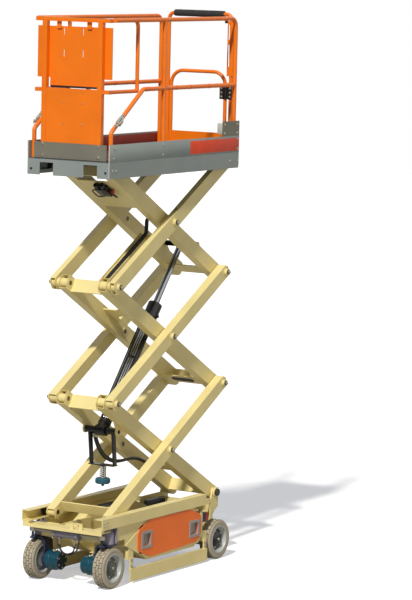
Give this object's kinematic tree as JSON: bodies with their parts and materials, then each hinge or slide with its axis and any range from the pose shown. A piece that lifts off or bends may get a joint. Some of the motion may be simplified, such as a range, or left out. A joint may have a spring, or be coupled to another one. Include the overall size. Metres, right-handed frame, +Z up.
{
  "type": "electric slab scissor lift",
  "caption": "Self-propelled scissor lift with a raised crossed-arm stack, railed platform with a roll-out extension deck, and a steered wheeled chassis.",
  "frame": {"origin": "on the ground under the middle of the machine", "axes": "+X forward, towards the steered wheels; +Y left; +Z up"},
  "size_m": [1.9073, 0.76, 4.454],
  "materials": {
    "battery_case": "matte",
    "black_steel": "satin",
    "cylinder_grey": "satin",
    "floor_steel": "textured",
    "grey_steel": "satin",
    "hose_rubber": "matte",
    "navy_casting": "satin",
    "orange_steel": "semi-gloss",
    "pad_rubber": "matte",
    "pin_steel": "brushed",
    "rod_chrome": "polished",
    "roller_plastic": "matte",
    "sand_steel": "semi-gloss",
    "sleeve_foam": "matte",
    "teal_motor": "satin",
    "tyre": "matte",
    "wheel_steel": "satin"
  },
  "bodies": {
    "chassis": {"chassis_rails": "sand_steel", "rear_frame": "sand_steel", "base_pins": "pin_steel", "side_boxes": "sand_steel", "batteries": "battery_case", "floor_pan": "sand_steel", "power_unit": "black_steel", "front_member": "sand_steel", "front_axle": "sand_steel", "steering_cylinder": "cylinder_grey", "steering_hoses": "hose_rubber"},
    "inner_1": {"inner_arms_1": "sand_steel", "cross_plates_1": "sand_steel", "cylinder_base_bar": "black_steel", "snubber_spring": "pin_steel", "snubber_pad": "pad_rubber", "lift_hose_inner": "hose_rubber", "lift_hose_outer": "hose_rubber"},
    "outer_1": {"outer_arms_1": "sand_steel", "outer_cross_plate": "sand_steel", "scissor_pins_1": "pin_steel", "lower_rollers": "roller_plastic"},
    "inner_2": {"inner_arms_2": "sand_steel", "cross_plates_2": "sand_steel"},
    "outer_2": {"outer_arms_2": "sand_steel", "scissor_pins_2": "pin_steel"},
    "inner_3": {"inner_arms_3": "sand_steel", "cross_plates_3": "sand_steel", "upper_rollers": "roller_plastic"},
    "outer_3": {"outer_arms_3": "sand_steel", "scissor_pins_3": "pin_steel", "hose_tray": "sand_steel", "tray_hoses": "hose_rubber"},
    "platform": {"deck_frame": "grey_steel", "deck_floor": "floor_steel", "side_rails": "orange_steel"},
    "extension": {"extension_floor": "floor_steel", "extension_rails": "orange_steel", "extension_panels": "orange_steel"},
    "gate": {"rear_gate": "orange_steel", "gate_grip_sleeve": "sleeve_foam"},
    "barrel": {"cylinder_barrel": "black_steel"},
    "rod": {"cylinder_rod": "rod_chrome"},
    "steering_link": {"steering_rod": "pin_steel"},
    "knuckle_left": {"knuckle_left": "navy_casting", "drive_motor_left": "teal_motor"},
    "door_left": {"side_door_left": "orange_steel"},
    "guard_left": {"pothole_guard_left": "sand_steel"},
    "wheel_front_left": {"tyre_front_left": "tyre", "wheel_front_left": "wheel_steel"},
    "wheel_rear_left": {"tyre_rear_left": "tyre", "wheel_rear_left": "wheel_steel"},
    "knuckle_right": {"knuckle_right": "navy_casting", "drive_motor_right": "teal_motor"},
    "door_right": {"side_door_right": "orange_steel"},
    "guard_right": {"pothole_guard_right": "sand_steel"},
    "wheel_front_right": {"tyre_front_right": "tyre", "wheel_front_right": "wheel_steel"},
    "wheel_rear_right": {"tyre_rear_right": "tyre", "wheel_rear_right": "wheel_steel"}
  },
  "joints": [
    {"name": "lift", "type": "hinge", "parent": "chassis", "child": "inner_1", "pos_m": [-0.905, 0, 0.521], "axis": [0, -1, 0], "range_deg": [-25.5, 17]},
    {"name": "cross_1", "type": "hinge", "parent": "inner_1", "child": "outer_1", "pos_m": [-0.11692, 0, 0.976], "axis": [0, -1, 0], "range_deg": [-34, 51]},
    {"name": "rear_pivot_1", "type": "hinge", "parent": "outer_1", "child": "inner_2", "pos_m": [-0.905, 0, 1.431], "axis": [0, -1, 0], "range_deg": [-51, 34]},
    {"name": "cross_2", "type": "hinge", "parent": "inner_2", "child": "outer_2", "pos_m": [-0.11692, 0, 1.886], "axis": [0, -1, 0], "range_deg": [-34, 51]},
    {"name": "rear_pivot_2", "type": "hinge", "parent": "outer_2", "child": "inner_3", "pos_m": [-0.905, 0, 2.341], "axis": [0, -1, 0], "range_deg": [-51, 34]},
    {"name": "cross_3", "type": "hinge", "parent": "inner_3", "child": "outer_3", "pos_m": [-0.11692, 0, 2.796], "axis": [0, -1, 0], "range_deg": [-34, 51]},
    {"name": "platform_level", "type": "hinge", "parent": "outer_3", "child": "platform", "pos_m": [-0.905, 0, 3.251], "axis": [0, -1, 0], "range_deg": [-25.5, 17]},
    {"name": "barrel_swing", "type": "hinge", "parent": "inner_1", "child": "barrel", "pos_m": [0.41338, 0, 1.1667], "axis": [0, -1, 0], "range_deg": [-38.25, 57.38]},
    {"name": "rod_slide", "type": "slide", "parent": "barrel", "child": "rod", "axis": [-0.6201, 0, 0.7845], "range_m": [-0.5432, 0.3623]},
    {"name": "front_left_wheel_spin", "type": "hinge", "parent": "knuckle_left", "child": "wheel_front_left", "pos_m": [0.775, 0.33, 0.1615], "axis": [0, 1, 0], "continuous": true},
    {"name": "front_right_wheel_spin", "type": "hinge", "parent": "knuckle_right", "child": "wheel_front_right", "pos_m": [0.775, -0.33, 0.1615], "axis": [0, 1, 0], "continuous": true},
    {"name": "rear_left_wheel_spin", "type": "hinge", "parent": "chassis", "child": "wheel_rear_left", "pos_m": [-0.775, 0.33, 0.1615], "axis": [0, 1, 0], "continuous": true},
    {"name": "rear_right_wheel_spin", "type": "hinge", "parent": "chassis", "child": "wheel_rear_right", "pos_m": [-0.775, -0.33, 0.1615], "axis": [0, 1, 0], "continuous": true},
    {"name": "steer_left", "type": "hinge", "parent": "chassis", "child": "knuckle_left", "pos_m": [0.775, 0.325, 0.4], "axis": [0, 0, 1], "range_deg": [-50, 50]},
    {"name": "steer_right", "type": "hinge", "parent": "chassis", "child": "knuckle_right", "pos_m": [0.775, -0.325, 0.4], "axis": [0, 0, 1], "range_deg": [-50, 50]},
    {"name": "steering_link_slide", "type": "slide", "parent": "chassis", "child": "steering_link", "axis": [0, 1, 0], "range_m": [-0.0729, 0.0729]},
    {"name": "extension_slide", "type": "slide", "parent": "platform", "child": "extension", "axis": [1, 0, 0], "range_m": [0, 0.9]},
    {"name": "gate_hinge", "type": "hinge", "parent": "platform", "child": "gate", "pos_m": [-0.915, 0.3, 3.9], "axis": [0, 0, 1], "range_deg": [0, 85]},
    {"name": "door_left_hinge", "type": "hinge", "parent": "chassis", "child": "door_left", "pos_m": [-0.503, 0.375, 0.32], "axis": [0, 0, 1], "range_deg": [0, 100]},
    {"name": "guard_left_slide", "type": "slide", "parent": "chassis", "child": "guard_left", "axis": [0, 0, 1], "range_m": [0, 0.05]},
    {"name": "door_right_hinge", "type": "hinge", "parent": "chassis", "child": "door_right", "pos_m": [-0.503, -0.375, 0.32], "axis": [0, 0, -1], "range_deg": [0, 100]},
    {"name": "guard_right_slide", "type": "slide", "parent": "chassis", "child": "guard_right", "axis": [0, 0, 1], "range_m": [0, 0.05]}
  ],
  "couplings": [
    {"joint": "cross_1", "follows": "lift", "ratio": -2},
    {"joint": "rear_pivot_1", "follows": "lift", "ratio": 2},
    {"joint": "cross_2", "follows": "lift", "ratio": -2},
    {"joint": "rear_pivot_2", "follows": "lift", "ratio": 2},
    {"joint": "cross_3", "follows": "lift", "ratio": -2},
    {"joint": "platform_level", "follows": "lift", "ratio": 1},
    {"joint": "barrel_swing", "follows": "lift", "ratio": -2.25},
    {"joint": "rod_slide", "follows": "lift", "m_per_rad": 1.2193},
    {"joint": "steer_right", "follows": "steer_left", "ratio": 1},
    {"joint": "steering_link_slide", "follows": "steer_left", "m_per_rad": 0.0834}
  ]
}
